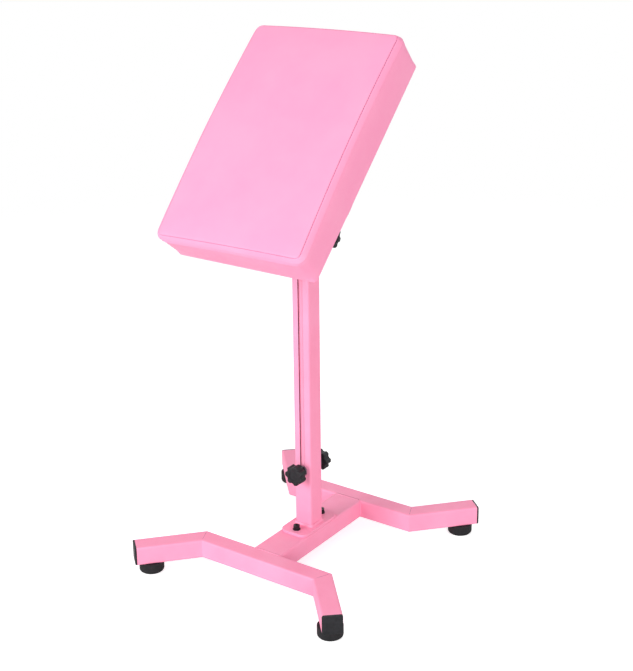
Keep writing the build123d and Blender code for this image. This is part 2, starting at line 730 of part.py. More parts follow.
def cushion_form(inset):
    """Crowned cushion body that swells from its lower edge to a belly and draws in at the seam."""
    seam_half_width = pad_bottom_width / 2 + seam_swell
    seam_half_length = pad_bottom_length / 2 + seam_swell
    along = arc_radius(seam_half_length, crown_drop_along)
    across = arc_radius(seam_half_width, crown_drop_across)
    top = crown_height - inset
    swing = degrees(asin((seam_half_length + pad_seam_corner) / along))
    crown_centre = pad_plane.origin + pad_plane.z_dir * (crown_height - along)
    lean = radians(swing)
    start_up = pad_plane.z_dir * cos(lean) - pad_plane.y_dir * sin(lean)
    start_normal = pad_plane.x_dir.cross(start_up)
    start_plane = Plane(origin=crown_centre, x_dir=pad_plane.x_dir, z_dir=start_normal)
    reach = seam_half_width + pad_seam_corner
    edge_drop = across - (across ** 2 - reach ** 2) ** 0.5
    crown_radius = along - inset
    edge_height = crown_radius - edge_drop
    section_bottom = crown_radius - top - pad_seam_corner

    with BuildPart() as crown:
        with BuildSketch(start_plane):
            with BuildLine():
                ThreePointArc((-reach, edge_height), (0, crown_radius), (reach, edge_height))
                Line((reach, edge_height), (reach, section_bottom))
                Line((reach, section_bottom), (-reach, section_bottom))
                Line((-reach, section_bottom), (-reach, edge_height))
            make_face()
        revolve(axis=Axis(crown_centre, -pad_plane.x_dir), revolution_arc=2 * swing)

    low = dust_cover_thickness + inset
    with BuildPart() as form:
        for height_share, swell_share in pad_side_shares:
            growth = 2 * (swell_share * belly_swell - inset)
            corner = pad_foot_corner + swell_share * (pad_seam_corner - pad_foot_corner) - inset
            with BuildSketch(pad_plane.offset(low + height_share * (pad_belly_height - low))):
                RectangleRounded(pad_bottom_width + growth, pad_bottom_length + growth, corner)
        top_corner = pad_seam_corner - inset
        with BuildSketch(pad_plane.offset(crown_height + overrun)):
            RectangleRounded(2 * (seam_half_width - inset), 2 * (seam_half_length - inset), top_corner)
        loft()
        add(crown.part, mode=Mode.INTERSECT)
        top_face = form.faces().sort_by(Axis(pad_plane.origin, pad_plane.z_dir))[-1]
        fillet(top_face.edges(), crown_roll - inset)
    return form.part


outer_form = cushion_form(0)
inner_form = cushion_form(leather_thickness)

# Foam block on the board
with BuildPart() as foam_block:
    add(inner_form)
    split(bisect_by=pad_plane.offset(board_top), keep=Keep.TOP)
write_piece(foam_block, "foam_block")

# Leather cover, turned in under the board
with BuildPart() as pad_cover:
    add(outer_form)
    add(inner_form, mode=Mode.SUBTRACT)
    with BuildSketch(pad_plane):
        RectangleRounded(
            pad_bottom_width - 2 * leather_turn_in,
            pad_bottom_length - 2 * leather_turn_in,
            leather_turn_in_corner,
        )
    extrude(amount=board_bottom, mode=Mode.SUBTRACT)
    with BuildSketch(pad_plane):
        staple_leg_marks(staple_clearance)
    extrude(amount=board_bottom, mode=Mode.SUBTRACT)
write_piece(pad_cover, "pad_cover")
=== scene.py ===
import bpy
import json
import math
from mathutils import Matrix, Vector, noise


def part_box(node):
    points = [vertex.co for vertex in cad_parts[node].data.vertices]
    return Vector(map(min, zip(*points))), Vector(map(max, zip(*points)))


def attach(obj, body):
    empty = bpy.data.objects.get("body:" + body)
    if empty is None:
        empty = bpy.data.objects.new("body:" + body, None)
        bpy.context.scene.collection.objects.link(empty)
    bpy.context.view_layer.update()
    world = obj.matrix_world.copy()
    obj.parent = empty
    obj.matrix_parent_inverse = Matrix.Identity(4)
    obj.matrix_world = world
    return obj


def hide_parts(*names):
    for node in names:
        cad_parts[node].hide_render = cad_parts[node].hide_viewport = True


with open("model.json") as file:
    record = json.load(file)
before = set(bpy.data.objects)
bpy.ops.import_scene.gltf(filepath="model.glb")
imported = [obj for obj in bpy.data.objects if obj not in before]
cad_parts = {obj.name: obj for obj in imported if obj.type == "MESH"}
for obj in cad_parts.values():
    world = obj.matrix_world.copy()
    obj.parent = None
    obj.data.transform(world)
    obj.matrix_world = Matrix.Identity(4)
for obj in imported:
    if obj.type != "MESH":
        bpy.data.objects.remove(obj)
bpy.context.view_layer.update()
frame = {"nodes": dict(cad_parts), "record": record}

# Photograph and camera, in metres, degrees and pixels
PHOTO_LONG_SIDE = 671
FOCAL_PIXELS = 1425.06
SENSOR_MM = 36.0
CAMERA_AZIMUTH = 35.165
CAMERA_ELEVATION = 20.553
CAMERA_ROLL = -0.65
CAMERA_PLACE = (1.15004, -1.60657, 1.09936)
CLIP_NEAR = 0.1
CLIP_FAR = 30

# Cushion, in metres; heights are measured from the underside of the pad.
# A pair of waves is the noise's scale and its layer.
CROWN_HEIGHT = 0.077
CUSHION_BOTTOM = 0.0006
FOOT_HALF_WIDTH = 0.1192
FOOT_HALF_LENGTH = 0.1780
FOOT_CORNER = 0.0058
SIDE_FULLNESS = 0.05
SEAM_HALF_WIDTH = 0.1190
SEAM_HALF_LENGTH = 0.1786
SEAM_CORNER = 0.0085
SHOULDER_OUT_LONG_SIDE = 0.0066
SHOULDER_OUT_SHORT_SIDE = 0.0042
SHOULDER_DROP_LONG_SIDE = 0.0064
SHOULDER_DROP_SHORT_SIDE = 0.0088
SHOULDER_CORNER = 0.0150
SHOULDER_BULGE = 0.2
SHOULDER_WAVE_SHARE = 0.18
SHOULDER_WAVES = (14, 7.3)
CROWN_DROP_ALONG = 0.0064
CROWN_DROP_ACROSS = 0.003
TOP_ROLL_WIDTH = 0.012
TOP_ROLL_DROP = 0.0012
FINE_STEP = 0.0009
COARSE_STEP = 0.0050
STEP_GROWTH = 1.30

# Cushion simulation
SIM_START_INSET = 0.0012
SIM_PIN_FADE = 0.014
SIM_FRAMES = 16
SIM_PRESSURE = 3.0
SIM_MOVE_CAP = 0.0022
SIM_QUALITY = 6
SIM_MASS = 0.25
SIM_STIFFNESS = 30
SIM_BENDING = 12
SIM_DROP_MARGIN = 1.1

# How the soft body leans off true between its foot and its top
FOOT_SHIFT_ACROSS = -0.0022
FOOT_SHIFT_ALONG = 0.0020
TOP_SHIFT_ALONG = -0.0006
TOP_TURN = math.radians(1.2)

# Seam, and the crease under its allowance
SEAM_GROOVE = 0.0018
SEAM_GROOVE_SLANT = 0.4
CREASE_DEPTH = 0.0036
CREASE_PROFILE = (0.75, 1.0, 0.6)
CREASE_RINGS = len(CREASE_PROFILE)
CREASE_MIDDLE_SHARE = 0.35
CREASE_LONG_SIDE_SHARE = 0.15
CREASE_CORNER_START = 0.35
CREASE_CORNER_REACH = 0.6
CREASE_PATCH_MEAN = 0.8
CREASE_PATCH_SWING = 0.7
CREASE_WAVES = (22, 1.7)
STITCH_LENGTH = 0.0037
STITCH_PITCH = 0.0043
STITCH_RADIUS = 0.00042
STITCH_DEPTH_SHARE = 0.45
ROD_SIDES = 8
ROD_PROFILE = ((0.0, 0.45), (0.18, 1.0), (0.82, 1.0), (1.0, 0.45))
PLEAT_DEPTH = 0.0005
PLEAT_REACH = 0.026
PLEATS = 7

# Dust cover under the pad, as the CAD has it, and the plate that presses on it
CLOTH_HALF_WIDTH = 0.107
CLOTH_HALF_LENGTH = 0.1652
CLOTH_THICKNESS = 0.0005
CLOTH_MIDDLE = 0.0003
CLOTH_CELL = 0.0042
CLOTH_SAG = 0.0013
CLOTH_PUCKER = 0.0004
CLOTH_HEM = 0.008
CLOTH_HEM_DROP = 0.00012
CLOTH_FREE_REACH = 0.02
CLOTH_PUCKER_REACH = 0.022
CLOTH_SAG_MEAN = 0.6
CLOTH_SAG_SWING = 0.4
CLOTH_WAVES = (30, 5.1)
PLATE_HALF_WIDTH = 0.045
PLATE_HALF_LENGTH = 0.115
PLATE_THICKNESS = 0.003
STAPLES_ALONG = 7
STAPLES_ACROSS = 5
STAPLE_INSET = 0.005

# Thin black strip in the clamp slots of the column, painted shade of the gap between the slot wall and the
# post
SLOT_RADIUS = 0.0043
SLOT_LOW = 0.1431
SLOT_HIGH = 0.4537
SLOT_ARC_STEPS = 12
SHADE_STRIP_THICKNESS = 0.0002
SHADE_STRIP_FROM = 0.01352
SHADE_STRIP_TO = 0.01496

# Crossbar, arm and beam, as the CAD has them
TUBE_WIDTH = 0.030
TUBE_CORNER = 0.003
LEG_MIDDLE = 0.032
BEAM_WIDTH = 0.050
CROSSBAR_HALF_LENGTH = 0.110
CROSSBAR_SPACING = 0.244
SPLAY = math.radians(48)
MITRE_LINE_RADIUS = 0.00032
WELD_BEAD_RADIUS = 0.0016
WELD_RIPPLE = 0.0022
WELD_RIPPLE_SHARE = 0.14
WELD_BLUNT_END = 0.02
WELD_SIDES = 12
FILL_PROUD = 0.00012
FILL_WAVE = 2.4
FILL_ARC_STEPS = 6
FILL_COLUMNS = 24
CHEEK_WELDS = ((-0.088, -0.064), (-0.038, -0.014), (0.0, 0.016))

# Floor and light levels
FLOOR_RADIUS = 2.2
FLOOR_SIDES = 96
FLOOR_FADE_START = 0.7
FLOOR_COLOUR = 0.86
FLOOR_GLOW = 0.62
AMBIENT = 0.42

# Lamps: azimuth and elevation in degrees, distance and size in metres, power in watts
LAMP_TARGET = (0, 0, 0.4)
LAMPS = {
    "key": (-25, 15, 3.0, 1.6, 69),
    "fill": (58, 13, 3.2, 2.2, 60),
    "top": (20, 80, 3.0, 2.4, 4),
    "back": (200, 30, 3.2, 2.2, 16),
}


def srgb(code):
    """Linear colour with alpha from a hex code."""
    values = [int(code[i:i + 2], 16) / 255 for i in (1, 3, 5)]
    return tuple(v / 12.92 if v <= 0.04045 else ((v + 0.055) / 1.055) ** 2.4 for v in values) + (1.0,)


class Finish:
    """A material under construction: a principled shader and the nodes that feed it."""

    def __init__(self, name, roughness, metallic=0.0):
        self.material = bpy.data.materials.new(name)
        self.material.use_nodes = True
        self.nodes = self.material.node_tree.nodes
        self.links = self.material.node_tree.links
        self.shader = self.nodes["Principled BSDF"]
        self.shader.inputs["Roughness"].default_value = roughness
        self.shader.inputs["Metallic"].default_value = metallic
        self.place = self.nodes.new("ShaderNodeTexCoord").outputs["Object"]
        self.last_bump = None

    def noise(self, scale, detail=3.0, stretch=(1, 1, 1)):
        """Noise at so many cells a metre."""
        mapping = self.nodes.new("ShaderNodeMapping")
        mapping.inputs["Scale"].default_value = stretch
        self.links.new(self.place, mapping.inputs["Vector"])
        node = self.nodes.new("ShaderNodeTexNoise")
        node.inputs["Scale"].default_value = scale
        node.inputs["Detail"].default_value = detail
        self.links.new(mapping.outputs["Vector"], node.inputs["Vector"])
        return node.outputs["Fac"]

    def cells(self, scale, feature="F1"):
        """Cell pattern at so many cells a metre."""
        node = self.nodes.new("ShaderNodeTexVoronoi")
        node.feature = feature
        node.inputs["Scale"].default_value = scale
        self.links.new(self.place, node.inputs["Vector"])
        return node.outputs["Distance"]

    def spread(self, value, low, high, start=0.35, end=0.65):
        """Maps a pattern value to the range from low to high."""
        node = self.nodes.new("ShaderNodeMapRange")
        node.inputs["From Min"].default_value = start
        node.inputs["From Max"].default_value = end
        node.inputs["To Min"].default_value = low
        node.inputs["To Max"].default_value = high
        self.links.new(value, node.inputs["Value"])
        return node.outputs["Result"]

    def colour(self, value, dark, light, start=0.35, end=0.65):
        """Colours the surface between two hex codes by a pattern value."""
        ramp = self.nodes.new("ShaderNodeValToRGB")
        ramp.color_ramp.elements[0].color = srgb(dark)
        ramp.color_ramp.elements[1].color = srgb(light)
        ramp.color_ramp.elements[0].position = start
        ramp.color_ramp.elements[1].position = end
        self.links.new(value, ramp.inputs["Fac"])
        self.links.new(ramp.outputs["Color"], self.shader.inputs["Base Color"])

    def roughness(self, value, low, high):
        """Varies the roughness with a pattern value."""
        self.links.new(self.spread(value, low, high), self.shader.inputs["Roughness"])

    def bump(self, value, depth, strength=1.0):
        """Adds relief of that depth in metres."""
        node = self.nodes.new("ShaderNodeBump")
        node.inputs["Distance"].default_value = depth
        node.inputs["Strength"].default_value = strength
        self.links.new(value, node.inputs["Height"])
        if self.last_bump is not None:
            self.links.new(self.last_bump, node.inputs["Normal"])
        self.last_bump = node.outputs["Normal"]
        self.links.new(self.last_bump, self.shader.inputs["Normal"])


def powder_coat():
    """Satin pink powder coat with a slight orange peel."""
    finish = Finish("powder_coat", 0.48)
    finish.shader.inputs["Specular IOR Level"].default_value = 0.20
    finish.colour(finish.noise(22), "#FE99BA", "#FF9FC0")
    finish.roughness(finish.noise(60), 0.42, 0.54)
    finish.bump(finish.noise(900, 2.0), 0.00012, 0.35)
    return finish.material


def pink_leather():
    """Smooth coated artificial leather with a fine pebble grain."""
    finish = Finish("pink_leather", 0.52)
    finish.shader.inputs["Specular IOR Level"].default_value = 0.16
    finish.colour(finish.noise(14), "#FE9EC2", "#FFA3C5")
    finish.roughness(finish.noise(120), 0.48, 0.60)
    finish.bump(finish.cells(760, "SMOOTH_F1"), 0.00016, 0.30)
    finish.bump(finish.noise(2200), 0.00004, 0.3)
    return finish.material


def moulded_black(name, dark, light, roughness, grain):
    """Moulded black plastic or rubber with a fine eroded grain."""
    finish = Finish(name, roughness)
    finish.shader.inputs["Specular IOR Level"].default_value = 0.28
    finish.colour(finish.noise(180), dark, light)
    finish.roughness(finish.noise(300), roughness - 0.06, roughness + 0.06)
    finish.bump(finish.noise(grain, 4.0), 0.00009, 0.5)
    return finish.material


def black_oxide():
    """Oiled black oxide on steel."""
    finish = Finish("black_oxide", 0.4, 0.7)
    finish.colour(finish.noise(400), "#1C1B1E", "#302F33")
    finish.roughness(finish.noise(500), 0.32, 0.5)
    finish.bump(finish.noise(2500), 0.00004, 0.4)
    return finish.material


def zinc_steel():
    """Bright zinc plate with turning marks."""
    finish = Finish("zinc_steel", 0.3, 1.0)
    finish.colour(finish.noise(140), "#AEB1B8", "#D3D5DA")
    finish.roughness(finish.noise(260), 0.22, 0.4)
    finish.bump(finish.noise(420, 2.0, (1, 8, 8)), 0.00005, 0.35)
    return finish.material


def plywood():
    """Birch plywood with long grain."""
    finish = Finish("plywood", 0.65)
    finish.colour(finish.noise(26, 6.0, (9, 1, 9)), "#A97F4C", "#D5B383")
    finish.bump(finish.noise(80, 6.0, (9, 1, 9)), 0.0002, 0.5)
    return finish.material


def foam():
    """Open-cell foam."""
    finish = Finish("foam", 0.9)
    finish.colour(finish.cells(900), "#D9CFAE", "#F1E8C9", 0.1, 0.6)
    finish.bump(finish.cells(1100), 0.0005, 0.8)
    return finish.material


def dust_cloth():
    """Black spun-bonded cloth with embossed points."""
    finish = Finish("dust_cloth", 0.85)
    finish.shader.inputs["Sheen Weight"].default_value = 0.15
    finish.colour(finish.noise(900), "#17171A", "#2B2B2F")
    finish.bump(finish.cells(620), 0.00025, 0.7)
    finish.bump(finish.noise(1600, 5.0), 0.0001, 0.6)
    return finish.material


def seam_thread_and_shade():
    """Twisted polyester thread, darker than the leather; its dark tone is partly painted shade of the seam
    groove.
    """
    finish = Finish("seam_thread_and_shade", 0.55)
    finish.colour(finish.noise(1500), "#A85B82", "#BC7096")
    finish.bump(finish.noise(3000), 0.00005, 0.6)
    return finish.material


def painted_shade_line():
    """Painted shade of the gap where two coated tubes meet, as a dark pink line."""
    finish = Finish("painted_shade_line", 0.6)
    finish.colour(finish.noise(300), "#A85C7C", "#BE6F90")
    finish.bump(finish.noise(1500), 0.0001, 0.5)
    return finish.material


MATERIALS = {
    "powder_coat": powder_coat(),
    "black_plastic": moulded_black("black_plastic", "#19191C", "#232327", 0.5, 1800),
    "black_rubber": moulded_black("black_rubber", "#161618", "#1D1D20", 0.62, 1200),
    "black_oxide": black_oxide(),
    "zinc_steel": zinc_steel(),
    "plywood": plywood(),
    "foam": foam(),
    "pink_leather": pink_leather(),
    "dust_cloth": dust_cloth(),
}
# thread colour, partly painted shade of the seam groove
THREAD_AND_SHADE = seam_thread_and_shade()
# painted shade: dark pink finish for the lines that stand for the shade in the mitre gaps
SHADE_LINE_FINISH = painted_shade_line()


def dress_nodes():
    """Gives every CAD node the material of its slot."""
    for part in frame["record"]["subparts"]:
        node = frame["nodes"][part["node"]]
        node.data.materials.clear()
        node.data.materials.append(MATERIALS[part["material_slot"]])


def mesh_object(name, points, faces, material, smooth=True):
    """New mesh object in the row's frame."""
    mesh = bpy.data.meshes.new(name)
    mesh.from_pydata(points, [], faces)
    mesh.validate()
    mesh.materials.append(material)
    for polygon in mesh.polygons:
        polygon.use_smooth = smooth
    obj = bpy.data.objects.new(name, mesh)
    bpy.context.scene.collection.objects.link(obj)
    return obj


def pad_frame():
    """Matrix from pad coordinates to the row's frame, from the arm rest's mount."""
    mount = next(m for m in frame["record"]["mounts"] if m["name"] == "arm_rest")
    normal = Vector(mount["axis"]).normalized()
    across = Vector((1, 0, 0))
    along = normal.cross(across)
    origin = Vector(mount["pos_m"]) - normal * CROWN_HEIGHT
    matrix = Matrix((across, along, normal)).transposed().to_4x4()
    matrix.translation = origin
    return matrix


PAD = pad_frame()


def graded(length):
    """Positions from 0 to length, close together at both ends."""
    half = [0.0]
    step = FINE_STEP
    while half[-1] + step < length / 2:
        half.append(half[-1] + step)
        step = min(step * STEP_GROWTH, COARSE_STEP)
    gap = length - 2 * half[-1]
    middle = max(1, round(gap / COARSE_STEP))
    between = [half[-1] + gap * n / middle for n in range(1, middle)]
    return half + between + [length - p for p in reversed(half)]


def round_corner(x, y, half_width, half_length, corner):
    """Moves a point of a rectangle to the rectangle with rounded corners."""
    u = abs(x) - (half_width - corner)
    v = abs(y) - (half_length - corner)
    if u <= 0 or v <= 0:
        return x, y
    new_u = u * math.sqrt(1 - (v / corner) ** 2 / 2)
    new_v = v * math.sqrt(1 - (u / corner) ** 2 / 2)
    return math.copysign(half_width - corner + new_u, x), math.copysign(half_length - corner + new_v, y)


def edge_distance(x, y, half_width, half_length, corner):
    """Distance inwards from the outline of a rounded rectangle."""
    u = abs(x) - (half_width - corner)
    v = abs(y) - (half_length - corner)
    outside = math.hypot(max(u, 0), max(v, 0)) + min(max(u, v), 0)
    return corner - outside


def waves(x, y, scale, layer):
    """Smooth noise over the pad, from -1 to 1."""
    return noise.noise(Vector((x * scale, y * scale, layer)))


def crown(x, y):
    """Height of the crowned face over a point of the pad."""
    along = CROWN_DROP_ALONG * (y / SEAM_HALF_LENGTH) ** 2
    across = CROWN_DROP_ACROSS * (x / SEAM_HALF_WIDTH) ** 2
    return CROWN_HEIGHT - along - across


def seam_height(x, y):
    """Height of the seam at a point of the outline."""
    return crown(x, y) - TOP_ROLL_DROP


FOOT = Vector((FOOT_HALF_WIDTH, FOOT_HALF_LENGTH, FOOT_CORNER))
SEAM = Vector((SEAM_HALF_WIDTH, SEAM_HALF_LENGTH, SEAM_CORNER))
SHOULDER_HALF_WIDTH = SEAM_HALF_WIDTH + SHOULDER_OUT_LONG_SIDE
SHOULDER_HALF_LENGTH = SEAM_HALF_LENGTH + SHOULDER_OUT_SHORT_SIDE
SHOULDER = Vector((SHOULDER_HALF_WIDTH, SHOULDER_HALF_LENGTH, SHOULDER_CORNER))
SIDE_LENGTH = CROWN_HEIGHT - TOP_ROLL_DROP - SHOULDER_DROP_LONG_SIDE - CUSHION_BOTTOM
SHOULDER_LENGTH = math.hypot(SHOULDER_OUT_LONG_SIDE, SHOULDER_DROP_LONG_SIDE)


def short_side_share(x, y):
    """1 on the short sides of the pad, 0 on the long ones, in between round the corners."""
    u = max(abs(x) - (SEAM_HALF_WIDTH - SHOULDER_CORNER), 0)
    v = max(abs(y) - (SEAM_HALF_LENGTH - SHOULDER_CORNER), 0)
    return v * v / (u * u + v * v) if v > 0 else 0.0


def shoulder_drop(x, y):
    """How far below the seam the leather turns down into the side."""
    wave = waves(x, y, *SHOULDER_WAVES)
    share = short_side_share(x, y)
    drop = SHOULDER_DROP_LONG_SIDE * (1 - share) + SHOULDER_DROP_SHORT_SIDE * share
    return drop * (1 + SHOULDER_WAVE_SHARE * wave)


def side_point(share_x, share_y, way):
    """Point on the cushion's side, so far up its profile from the lower edge."""
    share = min(way / SIDE_LENGTH, 1)
    rise = max(way - SIDE_LENGTH, 0) / SHOULDER_LENGTH
    if rise == 0:
        outline = FOOT.lerp(SHOULDER, share + SIDE_FULLNESS * math.sin(math.pi * share))
    else:
        outward = 1 - rise + SHOULDER_BULGE * (math.cos(rise * math.pi / 2) - 1 + rise)
        outline = SEAM.lerp(SHOULDER, outward)
    x, y = round_corner(share_x * outline.x, share_y * outline.y, *outline)
    upward = rise + SHOULDER_BULGE * (math.sin(rise * math.pi / 2) - rise)
    height = seam_height(x, y) - shoulder_drop(x, y) * (1 - upward)
    return Vector((x, y, CUSHION_BOTTOM + share * (height - CUSHION_BOTTOM)))


def top_point(share_x, share_y):
    """Point on the crowned face, which rolls down a little to its seam."""
    x, y = round_corner(share_x * SEAM.x, share_y * SEAM.y, *SEAM)
    reach = min(max(edge_distance(x, y, *SEAM), 0) / TOP_ROLL_WIDTH, 1)
    return Vector((x, y, crown(x, y) - TOP_ROLL_DROP * (1 - math.sqrt(1 - (1 - reach) ** 2))))


def under_point(share_x, share_y):
    """Point on the leather turned in under the board, pleated at the corners."""
    x, y = round_corner(share_x * FOOT.x, share_y * FOOT.y, *FOOT)
    u, v = FOOT.x - abs(x), FOOT.y - abs(y)
    fade = max(0.0, 1 - math.hypot(u, v) / PLEAT_REACH)
    rise = min(1.0, min(u, v) / (3 * FINE_STEP))
    pleat = 0.5 + 0.5 * math.cos(math.atan2(v, u) * 4 * PLEATS)
    return Vector((x, y, CUSHION_BOTTOM - PLEAT_DEPTH * pleat * min(1.0, 2 * fade) * rise))


def cushion_cage():
    """Points and faces of the closed cushion in pad coordinates, and its seam, band and crease rings."""
    columns = graded(2 * FOOT_HALF_WIDTH)
    rows = graded(2 * FOOT_HALF_LENGTH)
    side = graded(SIDE_LENGTH)
    levels = side + [SIDE_LENGTH + way for way in graded(SHOULDER_LENGTH)[1:]]
    last_column, last_row, last_level = len(columns) - 1, len(rows) - 1, len(levels) - 1
    index = {}
    points = []
    edge_level = len(side) - 1
    rings = {level: [] for level in range(edge_level - CREASE_RINGS, last_level + 1)}

    def place(i, j, k):
        """Index of the point at a grid place on the shell."""
        key = (i, j, k)
        if key in index:
            return index[key]
        share_x = columns[i] / FOOT_HALF_WIDTH - 1
        share_y = rows[j] / FOOT_HALF_LENGTH - 1
        rim = i in (0, last_column) or j in (0, last_row)
        if rim:
            point = side_point(share_x, share_y, levels[k])
        elif k == 0:
            point = under_point(share_x, share_y)
        else:
            point = top_point(share_x, share_y)
        if rim and k in rings:
            rings[k].append(len(points))
        index[key] = len(points)
        points.append(point)
        return index[key]

    faces = []
    for i in range(last_column):
        for j in range(last_row):
            faces.append([place(i, j, 0), place(i, j + 1, 0), place(i + 1, j + 1, 0), place(i + 1, j, 0)])
            top = [place(i, j, last_level), place(i + 1, j, last_level)]
            faces.append(top + [place(i + 1, j + 1, last_level), place(i, j + 1, last_level)])
    for k in range(last_level):
        for i in range(last_column):
            faces.append([place(i, 0, k), place(i + 1, 0, k), place(i + 1, 0, k + 1), place(i, 0, k + 1)])
            back = [place(i, last_row, k), place(i, last_row, k + 1)]
            faces.append(back + [place(i + 1, last_row, k + 1), place(i + 1, last_row, k)])
        for j in range(last_row):
            left = [place(0, j, k), place(0, j, k + 1)]
            faces.append(left + [place(0, j + 1, k + 1), place(0, j + 1, k)])
            right = [place(last_column, j, k), place(last_column, j + 1, k)]
            faces.append(right + [place(last_column, j + 1, k + 1), place(last_column, j, k + 1)])
    creases = [rings[edge_level - n] for n in range(1, CREASE_RINGS + 1)]
    band = [n for level in range(edge_level, last_level + 1) for n in rings[level]]
    return points, faces, rings[last_level], band, creases


def smooth_share(value):
    """Eases a value from 0 to 1."""
    value = min(max(value, 0.0), 1.0)
    return value * value * (3 - 2 * value)


def swell_cushion(points, faces, held):
    """Blows the cushion up as cloth from a smaller start; its underside, seam and band are held."""
    start = []
    flat = []
    for n, point in enumerate(points):
        from_seam = max(edge_distance(point.x, point.y, *SEAM), 0)
        drop = SIM_DROP_MARGIN * shoulder_drop(point.x, point.y)
        from_shoulder = seam_height(point.x, point.y) - drop - point.z
        reach = max(from_seam, from_shoulder)
        free = smooth_share(reach / SIM_PIN_FADE) * smooth_share((point.z - CUSHION_BOTTOM) / SIM_PIN_FADE)
        inset = SIM_START_INSET * free
        middle = Vector((point.x * (1 - SEAM.x / FOOT.y), point.y * (1 - SEAM.x / FOOT.y), 0))
        start.append(point - (point - middle).normalized() * inset)
        if point.z < CUSHION_BOTTOM + FINE_STEP / 2:
            flat.append(n)
    obj = mesh_object("cushion_sim", start, faces, MATERIALS["pink_leather"])
    pins = obj.vertex_groups.new(name="pins")
    pins.add(flat + held, 1.0, "REPLACE")
    cloth = obj.modifiers.new("cloth", "CLOTH")
    cloth.settings.quality = SIM_QUALITY
    cloth.settings.mass = SIM_MASS
    cloth.settings.tension_stiffness = SIM_STIFFNESS
    cloth.settings.compression_stiffness = SIM_STIFFNESS
    cloth.settings.bending_stiffness = SIM_BENDING
    cloth.settings.vertex_group_mass = "pins"
    cloth.settings.use_pressure = True
    cloth.settings.uniform_pressure_force = SIM_PRESSURE
    cloth.settings.effector_weights.gravity = 0
    cloth.point_cache.frame_start = 1
    cloth.point_cache.frame_end = SIM_FRAMES
    scene = bpy.context.scene
    for number in range(1, SIM_FRAMES + 1):
        scene.frame_set(number)
    shape = obj.evaluated_get(bpy.context.evaluated_depsgraph_get()).to_mesh()
    moved = [vertex.co.copy() for vertex in shape.vertices]
    scene.frame_set(1)
    bpy.data.objects.remove(obj)
    result = []
    for before, after in zip(start, moved):
        step = after - before
        length = step.length
        if length > 0:
            step *= SIM_MOVE_CAP * math.tanh(length / SIM_MOVE_CAP) / length
        result.append(before + step)
    return result


def inwards(point):
    """Unit vector from a point of the cushion's rim towards its middle, level with the pad."""
    x = max(abs(point.x) - (SEAM.x - SEAM.z), 0)
    y = max(abs(point.y) - (SEAM.y - SEAM.z), 0)
    return Vector((-math.copysign(x, point.x), -math.copysign(y, point.y), 0)).normalized()


def lean(point):
    """Shears and turns the soft body a little, as it sits on its board."""
    share = smooth_share(point.z / CROWN_HEIGHT)
    x = point.x + FOOT_SHIFT_ACROSS * (1 - share)
    y = point.y + FOOT_SHIFT_ALONG * (1 - share) + TOP_SHIFT_ALONG * share
    cos, sin = math.cos(TOP_TURN * share), math.sin(TOP_TURN * share)
    return Vector((x * cos - y * sin, x * sin + y * cos, point.z))


def crease_depth(point):
    """How far the leather is drawn in under its band at a point of the side."""
    short_side = short_side_share(point.x, point.y)
    near_corner = smooth_share((abs(point.x) / SEAM.x - CREASE_CORNER_START) / CREASE_CORNER_REACH)
    patchy = CREASE_PATCH_MEAN + CREASE_PATCH_SWING * waves(point.x, point.y, *CREASE_WAVES)
    share = CREASE_MIDDLE_SHARE + (1 - CREASE_MIDDLE_SHARE) * near_corner
    return CREASE_DEPTH * (short_side * share + (1 - short_side) * CREASE_LONG_SIDE_SHARE) * patchy


def make_cushion():
    """Leather cushion with its seam groove, in place of the CAD cover and foam."""
    points, faces, seam, band, creases = cushion_cage()
    shaped = swell_cushion(points, faces, band)
    for n in seam:
        sunk = inwards(shaped[n]) * SEAM_GROOVE_SLANT + Vector((0, 0, -1))
        shaped[n] = shaped[n] + sunk.normalized() * SEAM_GROOVE
    for ring, places in enumerate(creases):
        for n in places:
            point = shaped[n]
            shaped[n] = point + inwards(point) * crease_depth(point) * CREASE_PROFILE[ring]
    shaped = [lean(point) for point in shaped]
    cushion = mesh_object("cushion", [PAD @ point for point in shaped], faces, MATERIALS["pink_leather"])
    smooth = cushion.modifiers.new("smooth", "SUBSURF")
    smooth.levels = 1
    smooth.render_levels = 1
    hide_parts("pad_cover", "foam_block")
    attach(cushion, "pad")
    return shaped, seam


def seam_loop(shaped, seam):
    """Seam points in order round the cushion."""
    def turn(n):
        return math.atan2(shaped[n].y / SEAM_HALF_LENGTH, shaped[n].x / SEAM_HALF_WIDTH)
    return [shaped[n] for n in sorted(seam, key=turn)]


def rod_faces(rings, size, first=0):
    """Faces of a closed rod whose rings of points follow one another."""
    faces = []
    for ring in range(rings - 1):
        for n in range(size):
            a = first + ring * size + n
            b = first + ring * size + (n + 1) % size
            faces.append([a, b, b + size, a + size])
    faces.append([first + n for n in reversed(range(size))])
    faces.append([first + (rings - 1) * size + n for n in range(size)])
    return faces


def cross_axes(start, end):
    """Two unit vectors square to the line between two points and to each other."""
    axis = (end - start).normalized()
    side = axis.orthogonal().normalized()
    return side, axis.cross(side)


def capsule(start, end, radius, points, faces):
    """Adds a rounded rod between two points."""
    side, other = cross_axes(start, end)
    faces += rod_faces(len(ROD_PROFILE), ROD_SIDES, len(points))
    for share, size in ROD_PROFILE:
        centre = start.lerp(end, share)
        for n in range(ROD_SIDES):
            angle = 2 * math.pi * n / ROD_SIDES
            points.append(centre + (side * math.cos(angle) + other * math.sin(angle)) * radius * size)


def walk(loop):
    """Length of a closed loop of points, and a function from distance to place."""
    ring = loop + [loop[0]]
    lengths = [0.0]
    for a, b in zip(ring, ring[1:]):
        lengths.append(lengths[-1] + (b - a).length)

    def at(distance):
        distance = distance % lengths[-1]
        for n in range(len(ring) - 1):
            if distance <= lengths[n + 1]:
                share = (distance - lengths[n]) / max(lengths[n + 1] - lengths[n], 1e-9)
                return ring[n].lerp(ring[n + 1], share)
        return ring[-1]
    return lengths[-1], at


